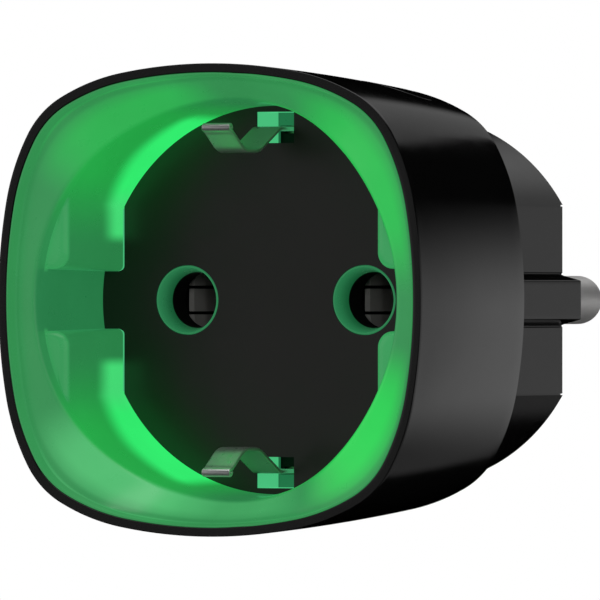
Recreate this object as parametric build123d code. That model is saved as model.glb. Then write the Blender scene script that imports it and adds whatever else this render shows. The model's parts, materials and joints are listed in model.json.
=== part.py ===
from build123d import *
import os
from math import cos, radians, sin

os.makedirs("parts", exist_ok=True)

# Square-round smart plug adaptor: a socket recess in front, a plug boss with two pins behind.
# Millimetres, +Z up, the recess faces -Y and the pins point along +Y into the wall socket.
# The origin is the centre of the plug's rear seating face, midway between the pins.
# "Depth" is measured back from the front rim, so a point at depth d has y = d - body_depth.
# A pair such as (18.35, 19.5) is a span: where a piece starts and ends along one direction.

# Overall
face_half = 22.5
body_depth = 46.5
drum_depth = 26.0
drum_taper = 0.031
drum_bow = 0.00088
wall = 1.4
rebate_wall = 0.9
rear_chamfer = 0.15
fit_gap = 0.05
overcut = 1.0

# Outline of the drum: side, shoulder and corner arcs, as shares of the half width
shoulder_share = 0.95
corner_share = 0.40
side_turn = 10.3
shoulder_turn = 28.8

# Pins and pin holes
pin_pitch = 19.0
pin_radius = 2.4
pin_length = 19.0
pin_x = pin_pitch / 2
pin_collar_radius = 2.6
pin_flange = 1.0
pin_flange_radius = 3.4
pin_tail_radius = 1.2
pin_tail_front = 38.2
bore_radius = 2.75
bore_wall = 0.8

# Socket recess
rim_width = 0.85
lip_land = 0.2
lip_depth = 1.4
lip_half = 21.2
mouth_depth = 2.6
mouth_radius = 19.4
floor_radius = 18.75
recess_depth = 14.5
pad_x = 16.4
pad_notch = 5.5
pad_size = (6.0, 16.0)
pad_round_front = 1.7
pad_round_floor = 0.5
pad_root = 0.6
ledge_depth = 3.0
guide_wall = 1.2
plate_thickness = 1.0
plate_back = recess_depth + plate_thickness
guide_back = plate_back + guide_wall
wall_taper = (mouth_radius - floor_radius) / (recess_depth - mouth_depth)
funnel_radius = 3.13
funnel_throat = 2.7
funnel_rim = 0.2
slot_half = 2.0
slot_z = (15.1, 18.1)
sleeve_wall = 0.8
sleeve_back = 19.7
stake_radius = 1.2
stake_head_radius = 1.8
stake_head = 0.6

# Plug boss
boss_front_radius = 18.45
boss_rear_radius = 18.2
boss_flat = 15.6
boss_wall = 1.6
boss_chamfer = 0.15
rib_height = 2.0
rib_base = 4.9
rib_face = 3.85
rib_root = 0.5
flange_front = 23.8
flange_half = 20.15
flange_back = drum_depth - 0.1

# Earthing
strip_width = 3.0
strip_thickness = 0.4
strip_bend = 2.4
clip_tip = (1.85, 16.85)
clip_belly = (6.4, 13.75)
clip_knee_depth = 12.75
clip_hinge_depth = 20.5
clip_run_z = 16.5
strap_span = (20.55, 21.35)
strap_half_width = 2.5
strap_reach = 17.5
side_contact_z = (17.4, 18.0)
side_contact_end = 45.3
side_foot_z = 9.8
side_foot = 0.6
contact_pocket_z = (15.6, 17.1)
contact_pocket_half = 3.6
contact_channel_half = 2.9
contact_slot_half = 2.6
rivet_z = 11.8
rivet_radius = 1.0
rivet_head_radius = 1.6
rivet_head = 0.5

# Boards
light_board = (17.5, 18.3)
light_board_radii = (16.0, 19.6)
led_size = 2.0
led_height = 0.7
led_radius = 17.4
led_angles = (25, 48, 132, 155, 205, 228, 312, 335)
main_board_span = (38.9, 40.5)
main_board_radius = 16.4
main_board_flat = 13.7
header_x = (3.2, 4.1, 5.0, 5.9)
header_z = -14.95
header_centre = (header_x[0] + header_x[-1]) / 2
header_radius = 0.25
header_hole = 0.3
tail_z = (2.0, 2.6)
tail_half = 0.8
tail_gap = 0.1
board_gap = 0.2
header_body = (1.8, 0.55)
header_tab = (1.9, 1.1)
lead_end = 0.6

# Carrier for the socket contacts
plate_span = (18.35, 19.5)
plate_radius = 19.3
box_half = (4.2, 3.7)
box_wall = 0.6
box_back = 34.6
hood_half = 3.2
hood_z = (14.2, 18.3)
hood_back = 20.45
hood_slit_half = 1.65
hood_slit_z = (16.1, 17.1)
spacer_radius = 1.9
post_at = (8.6, 11.2)
post_radius = 2.1
post_back = 42.1
screw_radius = 0.95
screw_clearance = 1.2
screw_tip = 31.0
screw_seat = 43.3
screw_head = 1.4
screw_head_radius = 1.9
screw_well_radius = 2.1
screw_slot = (2.6, 0.5)
seat_radius = 3.0

# Female contacts: leaf centre line as (depth, distance from the pin axis)
leaf_line = ((21.0, 2.8), (23.0, 2.5), (28.0, 2.7), (34.2, 2.6))
leaf_height = 5.5
leaf_round = 1.4
leaf_thickness = 0.6
leaf_slit_z = 1.25
leaf_slit = 0.3
leaf_slit_back = 31.0
web_half = 2.9
tail_shoulder = 38.0

# Power button, on the shoulder arc of the drum
button_turn = 14.4
button_depth = 20.1
button_radius = 3.6
button_gap = 0.12
button_proud = 0.12
button_plate = 2.0
button_flange = 0.8
button_well = (15.0, 24.0)
button_front = 12.0
button_lean = radians(button_turn)
stem_radius = 1.2
stem_span = (17.3, 19.0)
plunger_radius = 0.9
plunger_gap = 0.05
plunger_depth = 0.7
switch_reach = 16.8
switch_thickness = 2.0
switch_size = 4.4

# Relay
relay_half = (5.0, 9.8)
relay_front = 23.3
relay_wall = 0.6
relay_base_front = main_board_span[0] - 1.2
coil_z = -4.4
coil_span = (27.0, 36.6)
coil_radius = 3.5
coil_cheek = 0.6
coil_cheek_half = 4.2
core_radius = 1.4
core_sleeve = 0.6
pole_radius = 2.2
pole_front = 26.55
yoke_z = 0.6
yoke_half = 3.5
yoke_sheet = 1.0
arm_height = 3.0
yoke_foot_front = 36.7
armature_span = (25.3, 25.95)
armature_half = 3.3
arm_half = 2.0
arm_sheet = 0.3
arm_back = 34.0
rivet_depth = 32.4
contact_radius = 1.2
contact_height = 0.4
contact_gap = 0.5
fixed_sheet = 0.5
fixed_front = 30.4

# Radio module
radio_half = 7.4
radio_z = (-14.4, -13.6)
radio_front = 22.3
shield_half = 6.0
shield_top = -11.4
shield_span = (27.5, 36.5)
antenna_lines = 10
antenna_pitch = 1.1
antenna_line = 0.4
antenna_span = (22.7, 25.3)
antenna_foil = 0.1

# Power supply parts
capacitor_at = (-8.6, 9.4)
capacitor_radius = 3.15
capacitor_span = (27.0, 38.4)
capacitor_pitch = 2.5
inductor_at = (8.6, -9.0)
inductor_radii = (2.9, 2.4)
inductor_span = (31.0, main_board_span[0])
inductor_cheeks = (0.8, 1.2)
varistor_radius = 3.7
varistor_depth = 29.6
varistor_z = (12.4, 15.4)
varistor_pitch = 5.0
resistor_radius = 1.4
resistor_length = 9.0
resistor_at = (36.6, 12.0)
resistor_pitch = 7.8
lead_half = 0.3
moulding_round = 0.5

# Parts on the back of the main board
shunt_half = 3.5
shunt_z = (5.0, 8.0)
shunt_lift = 1.0
shunt_sheet = 0.5
chip_lift = 0.1
chip_legs = 4
chip_leg_half = 0.2
chip_leg_reach = 0.9
chip_leg_sheet = 0.25


def plane_at(depth):
    """Plane parallel to the front, with local x along +X and local y along +Z."""
    return Plane(origin=(0, depth - body_depth, 0), x_dir=(1, 0, 0), z_dir=(0, -1, 0))


def slab(outline, start, end):
    return extrude(plane_at(start) * outline, amount=start - end)


def rod(x, z, radius, start, end):
    return slab(Pos(x, z) * Circle(radius), start, end)


def block(x_span, z_span, start, end):
    (x0, x1), (z0, z1) = x_span, z_span
    return slab(Pos((x0 + x1) / 2, (z0 + z1) / 2) * Rectangle(x1 - x0, z1 - z0), start, end)


def both_ways(half):
    """Span that reaches equally far on both sides of the middle."""
    return (-half, half)


def around(centre, half):
    return (centre - half, centre + half)


def cone(x, z, front_radius, back_radius, start, end):
    outlines = ((start, front_radius), (end, back_radius))
    return loft([plane_at(depth) * (Pos(x, z) * Circle(radius)) for depth, radius in outlines])


def mirrored(z_span, side):
    """A Z span, or the same span below the axis when side is -1."""
    return tuple(sorted(side * z for z in z_span))


def bent_strip(points, radius, thickness, width):
    """Strip of sheet metal whose centre line runs through (depth, z) points."""
    corners = [(depth - body_depth, z) for depth, z in points]
    profile = Plane.YZ * trace(FilletPolyline(*corners, radius=radius), line_width=thickness)
    return extrude(profile, amount=width / 2, both=True)


def outline_arcs(half):
    """Side radius, and the centre of the upper right shoulder arc, for a drum of this half width."""
    shoulder, corner = shoulder_share * half, corner_share * half
    t1, t2 = radians(side_turn), radians(shoulder_turn)
    lean1, lean2 = cos(t1) - sin(t1), cos(t2) - sin(t2)
    side = (half - shoulder * lean1 + (shoulder - corner) * lean2) / (1 - lean1)
    return side, ((side - shoulder) * sin(t1), half - side + (side - shoulder) * cos(t1))


def squircle(half):
    """Square with bowed sides, made of tangent arcs and the same in all four quarters."""
    side, (near, far) = outline_arcs(half)
    shoulder, corner = shoulder_share * half, corner_share * half
    corner_xy = near + (shoulder - corner) * sin(radians(shoulder_turn))
    span = shoulder_turn - side_turn
    quarter = [
        CenterArc((half - side, 0), side, -side_turn, 2 * side_turn),
        CenterArc((far, near), shoulder, side_turn, span),
        CenterArc((corner_xy, corner_xy), corner, shoulder_turn, 90 - 2 * shoulder_turn),
        CenterArc((near, far), shoulder, 90 - shoulder_turn, span),
    ]
    arcs = [Rot(0, 0, 90 * turn) * arc for turn in range(4) for arc in quarter]
    return make_face(Curve() + arcs)


def drum_half(depth):
    return face_half - drum_taper * depth - drum_bow * depth**2


def drum(offset, start, end):
    """Drum volume grown by an offset, between two depths."""
    stations = [start + (end - start) * step / 3 for step in range(4)]
    return loft([plane_at(depth) * squircle(drum_half(depth) + offset) for depth in stations])


def inner_room():
    """Round space inside the drum that the carrier and its sleeves keep to."""
    return rod(0, 0, plate_radius, 0, drum_depth)


def flat_sided(radius, flat):
    return Circle(radius) & Rectangle(2 * flat, 3 * radius)


def tapered_flat_sided(radii, flat, start, end):
    return loft([plane_at(d) * flat_sided(r, flat) for d, r in zip((start, end), radii)])


def on_button_axis(reach, shape):
    """Place a shape built along +Z so that its base is this far out along the button axis."""
    x, z = outline_arcs(drum_half(button_depth))[1]
    foot_x, foot_z = x + reach * sin(button_lean), z + reach * cos(button_lean)
    return Pos(foot_x, button_depth - body_depth, foot_z) * Rot(0, button_turn, 0) * shape


def button_rod(radius, start, end):
    bar = Cylinder(radius, end - start, align=(Align.CENTER, Align.CENTER, Align.MIN))
    return on_button_axis(start, bar)


def outer_casing():
    body = drum(0, 0, drum_depth)
    rear = body.faces().sort_by(Axis.Y)[-1]
    body = chamfer(rear.edges(), rear_chamfer)
    body -= slab(squircle(face_half - rim_width), -overcut, ledge_depth)
    body -= drum(-wall, ledge_depth, drum_depth + overcut)
    body -= drum(-rebate_wall, flange_front, drum_depth + overcut)
    return body - button_rod(button_radius + button_gap, *button_well)


def recess_outline(radius, corner_round, gap=0.0):
    """Round recess with a flat on each side, split by a notch for the plug's guide rib."""
    outline = Circle(radius - gap)
    notch = pad_notch / 2 + gap
    for side in (-1, 1):
        for half in (-1, 1):
            pad = Rectangle(2 * radius, 2 * radius)
            pad = fillet(pad.vertices(), corner_round)
            outline -= Pos(side * (pad_x - gap + radius), half * (notch + radius)) * pad
    return outline


def recess():
    """Space that the inserted plug fills, from the rim down to the back of the floor plate."""
    open_half = face_half - rim_width - lip_land
    front = slab(squircle(open_half), -overcut, 0)
    lip = loft([plane_at(0) * squircle(open_half), plane_at(lip_depth) * squircle(lip_half)])
    mouth = plane_at(mouth_depth) * Circle(mouth_radius)
    funnel = loft([plane_at(lip_depth) * squircle(lip_half), mouth])
    back_radius = floor_radius - wall_taper * plate_thickness
    well = cone(0, 0, mouth_radius, back_radius, mouth_depth, plate_back)
    return front + lip + funnel + well


def guide_pad(side, half):
    """Guide pad of the recess, rounder at its front corners than at the floor."""
    width, height = pad_size
    place = Pos(side * (pad_x + width / 2), half * (pad_notch / 2 + height / 2))
    outlines = []
    for depth, corner_round in ((mouth_depth, pad_round_front), (plate_back, pad_round_floor)):
        outline = fillet(Rectangle(width, height).vertices(), corner_round)
        outlines.append(plane_at(depth) * (place * outline))
    return loft(outlines)


def slot_block(side, grow=0.0, start=recess_depth - overcut, end=sleeve_back + overcut):
    """Room for an earthing clip, wide enough for the strip and its spring travel."""
    z_span = mirrored((slot_z[0] - grow, slot_z[1] + grow), side)
    return block(both_ways(slot_half + grow), z_span, start, end)


def light_guide():
    """Translucent recess liner, with pin funnels, clip sleeves and two heat stakes behind."""
    outer = slab(squircle(face_half - rim_width - fit_gap), 0, ledge_depth)
    front_radius, back_radius = mouth_radius + guide_wall, floor_radius + guide_wall - 2 * fit_gap
    outer += cone(0, 0, front_radius, back_radius, ledge_depth, guide_back)
    cup = outer - recess()
    shell = cone(0, 0, mouth_radius + pad_root, floor_radius + pad_root, mouth_depth, guide_back)
    for side in (-1, 1):
        for half in (-1, 1):
            cup += guide_pad(side, half) & shell
    for x in (-pin_x, pin_x):
        rim_radius = funnel_radius + funnel_rim
        cup += rod(x, 0, rim_radius, recess_depth - fit_gap, guide_back)
        cup -= cone(x, 0, funnel_radius, funnel_throat, recess_depth - 2 * fit_gap, guide_back)
    for side in (-1, 1):
        cup += slot_block(side, sleeve_wall, guide_back, sleeve_back) & inner_room()
        cup -= slot_block(side)
    for sign in (-1, 1):
        x, z = -sign * post_at[0], sign * post_at[1]
        cup += rod(x, z, stake_radius, guide_back, plate_span[1])
        cup += rod(x, z, stake_head_radius, plate_span[1], plate_span[1] + stake_head)
    return cup


def socket_floor():
    outline = recess_outline(floor_radius - 2 * fit_gap, pad_round_floor, fit_gap)
    plate = slab(outline, recess_depth, plate_back)
    for x in (-pin_x, pin_x):
        hole_radius = funnel_radius + funnel_rim + fit_gap
        plate -= rod(x, 0, hole_radius, recess_depth - overcut, plate_back + overcut)
    for side in (-1, 1):
        plate -= slot_block(side)
    return plate


def contact_box(x):
    """Walled box behind one pin hole that keeps its live contact apart."""
    half_x, half_z = box_half
    front = rod(x, 0, bore_radius + bore_wall, guide_back + fit_gap, plate_span[0])
    return front + block(around(x, half_x), both_ways(half_z), plate_span[1], box_back)


def contact_room(x):
    half_x, half_z = box_half[0] - box_wall, box_half[1] - box_wall
    bore = rod(x, 0, bore_radius, guide_back, plate_span[1])
    return bore + block(around(x, half_x), both_ways(half_z), plate_span[1], box_back)


def clip_hood(side):
    """Wall behind a clip's sleeve, with a slit that only the strip passes through."""
    hood = block(both_ways(hood_half), mirrored(hood_z, side), plate_span[1], hood_back)
    hood &= inner_room()
    hood -= slot_block(side, sleeve_wall + fit_gap, plate_span[0], sleeve_back + fit_gap)
    slit = mirrored(hood_slit_z, side)
    return hood - block(both_ways(hood_slit_half), slit, plate_span[1], hood_back)


def contact_carrier():
    """Black carrier plate with contact boxes, clip hoods, strap spacers and screw posts."""
    start, end = plate_span[0] - overcut, plate_span[1] + overcut
    carrier = rod(0, 0, plate_radius, *plate_span)
    for side in (-1, 1):
        carrier -= slot_block(side, sleeve_wall + fit_gap, start, end)
        carrier += clip_hood(side)
        carrier += rod(0, side * rivet_z, spacer_radius, plate_span[1], strap_span[0])
        carrier -= rod(0, side * rivet_z, rivet_radius, start, strap_span[0])
    header_x_half, header_z_half = header_body
    header_hole_z = around(header_z, header_z_half)
    carrier -= block(around(header_centre, header_x_half), header_hole_z, start, end)
    carrier -= switch_body(6 * fit_gap)
    for x in (-pin_x, pin_x):
        carrier += contact_box(x)
        carrier -= contact_room(x)
    for sign in (-1, 1):
        x, z = sign * post_at[0], sign * post_at[1]
        carrier += rod(x, z, post_radius, plate_span[1], post_back)
        carrier -= rod(x, z, screw_radius, screw_tip - overcut, post_back)
        carrier -= rod(-x, z, stake_radius + fit_gap, start, end)
    return carrier


def leaf_corner(x, side):
    """What is trimmed off the leaves' front corner to round it."""
    front = leaf_line[0][0] - overcut
    tip_y = front + overcut + leaf_round - body_depth
    edge_z = side * (leaf_height / 2 - leaf_round)
    z_span = mirrored((leaf_height / 2 - leaf_round, leaf_height), side)
    corner = block(around(x, web_half + overcut), z_span, front, tip_y + body_depth)
    keep = Plane(origin=(x, tip_y, edge_z), z_dir=(1, 0, 0)) * Circle(leaf_round)
    return corner - extrude(keep, amount=web_half + 2 * overcut, both=True)


def socket_contact(x):
    """Female contact: two sprung leaves, each split into three fingers, joined at the back."""
    web_back = leaf_line[-1][0]
    contact = block(around(x, web_half), both_ways(leaf_height / 2), web_back - leaf_thickness, web_back)
    for side in (-1, 1):
        corners = [(side * reach, depth - body_depth) for depth, reach in leaf_line]
        leaf = trace(FilletPolyline(*corners, radius=3), line_width=leaf_thickness)
        contact += Pos(x, 0, 0) * extrude(Plane.XY * leaf, amount=leaf_height / 2, both=True)
    for side in (-1, 1):
        contact -= leaf_corner(x, side)
    for z in (-leaf_slit_z, leaf_slit_z):
        slit = around(z, leaf_slit / 2)
        contact -= block(around(x, web_half + overcut), slit, leaf_line[0][0] - overcut, leaf_slit_back)
    contact += block(around(x, 2 * tail_half), tail_z, web_back, tail_shoulder)
    return contact + block(around(x, tail_half), tail_z, tail_shoulder, main_board_span[1] + lead_end)


def plug_pin(x):
    tip_depth = body_depth + pin_length - pin_radius
    seat = body_depth - boss_wall
    pin = rod(x, 0, pin_collar_radius, seat, body_depth) + rod(x, 0, pin_radius, seat, tip_depth)
    pin += Pos(x, tip_depth - body_depth, 0) * Sphere(pin_radius)
    pin += rod(x, 0, pin_flange_radius, seat - pin_flange, seat)
    return pin + rod(x, 0, pin_tail_radius, pin_tail_front, seat - pin_flange)


def guide_rib(side):
    """Tapered rib along the middle of a boss flat."""
    foot, face = boss_flat - rib_root, boss_flat + rib_height
    corners = [(foot, -rib_base / 2), (boss_flat, -rib_base / 2), (face, -rib_face / 2)]
    corners += [(x, -z) for x, z in reversed(corners)]
    outline = make_face(Polyline(*[(side * x, z) for x, z in corners], close=True))
    return slab(outline, flange_back - rib_root, body_depth)


def contact_pocket(side):
    """Thickened wall behind a side earth contact."""
    pocket = mirrored(contact_pocket_z, side)
    return block(both_ways(contact_pocket_half), pocket, flange_front, body_depth)


def contact_channel(side):
    """Open channel for a side earth contact, and the slit in the flange that it comes through."""
    low, high = side_contact_z[0] - fit_gap, side_contact_z[1] + fit_gap
    channel = mirrored((low, high + 2 * overcut), side)
    start, end = drum_depth + overcut, side_contact_end + 4 * fit_gap
    open_part = block(both_ways(contact_channel_half), channel, start, end)
    slit = mirrored((low, high), side)
    return open_part + block(both_ways(contact_slot_half), slit, flange_front - overcut, start + overcut)


def rear_cover():
    """Plug boss with its flange, ribs, pin holes, side channels and two screw wells."""
    radii = (boss_front_radius, boss_rear_radius)
    boss = tapered_flat_sided(radii, boss_flat, flange_back - rib_root, body_depth)
    rim = boss.faces().sort_by(Axis.Y)[-1].edges()
    cover = slab(squircle(flange_half), flange_front, flange_back) + chamfer(rim, boss_chamfer)
    for side in (-1, 1):
        cover += guide_rib(side)
    inner = [r - boss_wall for r in radii]
    inside = (flange_front - overcut, body_depth - boss_wall)
    cover -= tapered_flat_sided(inner, boss_flat - boss_wall, *inside)
    for side in (-1, 1):
        cover += contact_pocket(side)
        cover -= contact_channel(side)
    for x in (-pin_x, pin_x):
        cover -= rod(x, 0, pin_collar_radius, inside[1] - overcut, body_depth + overcut)
    for sign in (-1, 1):
        x, z = sign * post_at[0], sign * post_at[1]
        seat = rod(x, z, seat_radius, post_back + fit_gap, body_depth - overcut)
        cover += seat & rod(0, 0, boss_rear_radius - overcut, post_back, body_depth)
        cover -= rod(x, z, screw_clearance, post_back, screw_seat)
        cover -= rod(x, z, screw_well_radius, screw_seat, body_depth + overcut)
    return cover


def earth_clip(side):
    """Sprung earthing strip: curled tip, belly towards the plug, straight run into its slot."""
    route = [clip_tip, clip_belly, (clip_knee_depth, clip_run_z), (clip_hinge_depth, clip_run_z)]
    return bent_strip([(d, side * z) for d, z in route], strip_bend, strip_thickness, strip_width)


def rivet_hole(side):
    return rod(0, side * rivet_z, rivet_radius, strap_span[0] - overcut, strap_span[1] + overcut)


def earth_strap():
    strap = block(both_ways(strap_half_width), both_ways(strap_reach), *strap_span)
    return strap - [rivet_hole(side) for side in (-1, 1)]


def side_earth_contact(side):
    """Exposed strip along the boss, with a foot riveted to the earth strap."""
    low, high = side_contact_z
    back = strap_span[1]
    width = both_ways(strap_half_width)
    foot = block(width, mirrored((side_foot_z, high), side), back, back + side_foot)
    strip = block(width, mirrored((low, high), side), back, side_contact_end)
    return foot + strip - rivet_hole(side)


def earth_rivets():
    back = strap_span[1] + side_foot
    heads = ((plate_span[0] - rivet_head, plate_span[0]), (back, back + rivet_head))
    rivets = []
    for side in (-1, 1):
        shank = rod(0, side * rivet_z, rivet_radius, plate_span[0], back)
        rivets.append(shank + [rod(0, side * rivet_z, rivet_head_radius, *span) for span in heads])
    return Compound(children=rivets)


def cover_screws():
    """Two self-tapping screws with cross slots, driven from behind."""
    screws = []
    for sign in (-1, 1):
        x, z = sign * post_at[0], sign * post_at[1]
        head = rod(x, z, screw_head_radius, screw_seat, screw_seat + screw_head)
        for turn in (0, 90):
            slot = Pos(x, z) * Rot(0, 0, turn) * Rectangle(*screw_slot)
            head -= slab(slot, screw_seat + screw_head / 2, screw_seat + 2 * screw_head)
        screws.append(head + rod(x, z, screw_radius, screw_tip, screw_seat))
    return Compound(children=screws)


def light_board_ring():
    inner, outer = light_board_radii
    board = slab(Circle(outer) - Circle(inner), *light_board)
    tab_x_half, tab_z_half = header_tab
    board += block(around(header_centre, tab_x_half), around(header_z, tab_z_half), *light_board)
    start, end = light_board[0] - overcut, light_board[1] + overcut
    for side in (-1, 1):
        board -= slot_block(side, overcut, start, end)
    return board - [rod(x, header_z, header_hole, start, end) for x in header_x]


def leds():
    chip = Rectangle(led_size, led_size)
    places = [Rot(0, 0, angle) * Pos(led_radius, 0) for angle in led_angles]
    front = light_board[0] - led_height
    return Compound(children=[slab(place * chip, front, light_board[0]) for place in places])


def header_pins():
    start, end = light_board[0] - lead_end, main_board_span[1] + lead_end
    return Compound(children=[rod(x, header_z, header_radius, start, end) for x in header_x])


def power_button():
    cap = button_rod(button_radius, *button_well) & drum(button_proud, button_front, drum_depth)
    flange = button_rod(button_radius + button_flange, *button_well)
    flange &= drum(-wall - fit_gap, button_front, flange_front - 2 * fit_gap)
    hollow = drum(-button_plate, button_front, drum_depth)
    return (cap + flange) - hollow + button_rod(stem_radius, *stem_span)


def switch_body(grow=0.0):
    size = switch_size + 2 * grow
    bottom = switch_reach - switch_thickness
    box = Box(size, size, switch_thickness + 2 * grow, align=(Align.CENTER, Align.CENTER, Align.MIN))
    shift = light_board[1] + switch_size / 2 - button_depth
    return Pos(0, shift, 0) * on_button_axis(bottom - grow, box)


def tactile_switch():
    well = (switch_reach - plunger_depth - 0.5, switch_reach + overcut)
    return switch_body() - button_rod(plunger_radius + plunger_gap, *well)


def switch_plunger():
    return button_rod(plunger_radius, switch_reach - plunger_depth, stem_span[0])


def main_board():
    board = slab(flat_sided(main_board_radius, main_board_flat), *main_board_span)
    start, end = main_board_span[0] - overcut, main_board_span[1] + overcut
    for sign in (-1, 1):
        board -= rod(sign * post_at[0], sign * post_at[1], post_radius + board_gap, start, end)
    for x in (-pin_x, pin_x):
        board -= rod(x, 0, pin_tail_radius + tail_gap, start, end)
        tail_slot = (tail_z[0] - tail_gap, tail_z[1] + tail_gap)
        board -= block(around(x, tail_half + tail_gap), tail_slot, start, end)
    for side in (-1, 1):
        edge = mirrored((contact_pocket_z[0] - board_gap, main_board_radius + overcut), side)
        board -= block(both_ways(contact_pocket_half + board_gap), edge, start, end)
    return board - [rod(x, header_z, header_hole, start, end) for x in header_x]


def relay_case():
    half_x, half_z = relay_half
    case = block(both_ways(half_x), both_ways(half_z), relay_front, relay_base_front)
    case = fillet(case.faces().sort_by(Axis.Y)[0].edges(), 0.4)
    room = [both_ways(half - relay_wall) for half in relay_half]
    return case - block(*room, relay_front + relay_wall, relay_base_front)


def relay_base():
    half_x, half_z = relay_half
    return block(both_ways(half_x), both_ways(half_z), relay_base_front, main_board_span[0])


def relay_bobbin():
    start, end = coil_span
    bobbin = rod(0, coil_z, core_radius + core_sleeve, start, end)
    cheek = (both_ways(coil_cheek_half), around(coil_z, coil_cheek_half))
    for front in (start, end - coil_cheek):
        bobbin += block(*cheek, front, front + coil_cheek)
    return bobbin - rod(0, coil_z, core_radius, start - overcut, end + overcut)


def relay_winding():
    start, end = coil_span[0] + coil_cheek, coil_span[1] - coil_cheek
    winding = rod(0, coil_z, coil_radius, start, end)
    return winding - rod(0, coil_z, core_radius + core_sleeve, start - overcut, end + overcut)


def relay_yoke():
    """Iron core through the coil, foot under it and the upright that carries the armature."""
    upright_z = (yoke_z, yoke_z + yoke_sheet)
    yoke = rod(0, coil_z, core_radius, pole_front, yoke_foot_front)
    yoke += rod(0, coil_z, pole_radius, pole_front, coil_span[0])
    foot_z = (coil_z - yoke_half, upright_z[1])
    yoke += block(both_ways(yoke_half), foot_z, yoke_foot_front, relay_base_front)
    return yoke + block(both_ways(yoke_half), upright_z, armature_span[1] + 0.1, yoke_foot_front)


def relay_armature():
    z_span = (coil_z - 3.0, yoke_z + yoke_sheet)
    return block(both_ways(armature_half), z_span, *armature_span)


def contact_rivet(low, high):
    rivet = Cylinder(contact_radius, high - low, align=(Align.CENTER, Align.CENTER, Align.MIN))
    return Pos(0, rivet_depth - body_depth, low) * rivet


def relay_contact_arm():
    """Springy arm on the armature, with a silver contact rivet near its end."""
    start = armature_span[0] - arm_sheet
    width, outer = both_ways(arm_half), yoke_z + arm_height
    arm = block(width, (coil_z, outer), start, armature_span[0])
    arm += block(width, (outer - arm_sheet, outer), armature_span[0], arm_back)
    return arm + contact_rivet(outer, outer + contact_height)


def relay_fixed_contact():
    low = yoke_z + arm_height + 2 * contact_height + contact_gap
    plate = block(both_ways(arm_half), (low, low + fixed_sheet), fixed_front, relay_base_front)
    return plate + contact_rivet(low - contact_height, low)


def radio_board():
    return block(both_ways(radio_half), radio_z, radio_front, main_board_span[0])


def radio_shield():
    shield = block(both_ways(shield_half), (radio_z[1], shield_top), *shield_span)
    return fillet(shield.edges().filter_by(Axis.Z), moulding_round)


def radio_antenna():
    """Meander of copper on the free end of the radio board."""
    start, end = antenna_span
    foil = (radio_z[1], radio_z[1] + antenna_foil)
    meander = []
    for step in range(antenna_lines):
        x = antenna_pitch * (step - (antenna_lines - 1) / 2)
        meander.append(block(around(x, antenna_line / 2), foil, start, end))
        if step < antenna_lines - 1:
            low = start if step % 2 else end - antenna_line
            meander.append(block((x, x + antenna_pitch), foil, low, low + antenna_line))
    return meander[0] + meander[1:]


def leads(centre, pitch, z, start):
    """Two wire leads down to the main board."""
    spans = [around(centre + side * pitch / 2, lead_half) for side in (-1, 1)]
    return [block(span, around(z, lead_half), start, main_board_span[0]) for span in spans]


def smoothing_capacitor():
    x, z = capacitor_at
    can = rod(x, z, capacitor_radius, *capacitor_span)
    can = fillet(can.edges().filter_by(GeomType.CIRCLE), moulding_round)
    return can + leads(x, capacitor_pitch, z, capacitor_span[1])


def filter_inductor():
    x, z = inductor_at
    start, end = inductor_span
    cheek_radius, core = inductor_radii
    front, back = start + inductor_cheeks[0], end - inductor_cheeks[1]
    core = rod(x, z, core, front, back)
    return core + rod(x, z, cheek_radius, start, front) + rod(x, z, cheek_radius, back, end)


def varistor():
    low, high = varistor_z
    disc = Plane(origin=(0, varistor_depth - body_depth, low)) * Circle(varistor_radius)
    body = fillet(extrude(disc, amount=high - low).edges(), moulding_round)
    return body + leads(0, varistor_pitch, (low + high) / 2, varistor_depth + 2)


def fusible_resistor():
    depth, z = resistor_at
    axis = Plane(origin=(-resistor_length / 2, depth - body_depth, z), z_dir=(1, 0, 0))
    body = extrude(axis * Circle(resistor_radius), amount=resistor_length)
    return fillet(body.edges(), moulding_round) + leads(0, resistor_pitch, z, depth)


def current_shunt():
    back = main_board_span[1]
    end = back + shunt_lift + shunt_sheet
    shunt = block(both_ways(shunt_half), shunt_z, back + shunt_lift, end)
    for side in (-1, 1):
        foot = mirrored((shunt_half - shunt_sheet, shunt_half), side)
        shunt += block(foot, shunt_z, back, end)
    return shunt


def board_chip(x_span, z_span, height):
    """Moulded chip on the back of the main board, with legs along its long sides."""
    back = main_board_span[1]
    chip = block(x_span, z_span, back + chip_lift, back + height)
    pitch = (x_span[1] - x_span[0]) / chip_legs
    legs_z = (z_span[0] - chip_leg_reach, z_span[1] + chip_leg_reach)
    for leg in range(chip_legs):
        leg_x = around(x_span[0] + pitch * (leg + 0.5), chip_leg_half)
        chip += block(leg_x, legs_z, back, back + chip_leg_sheet)
    return chip


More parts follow.
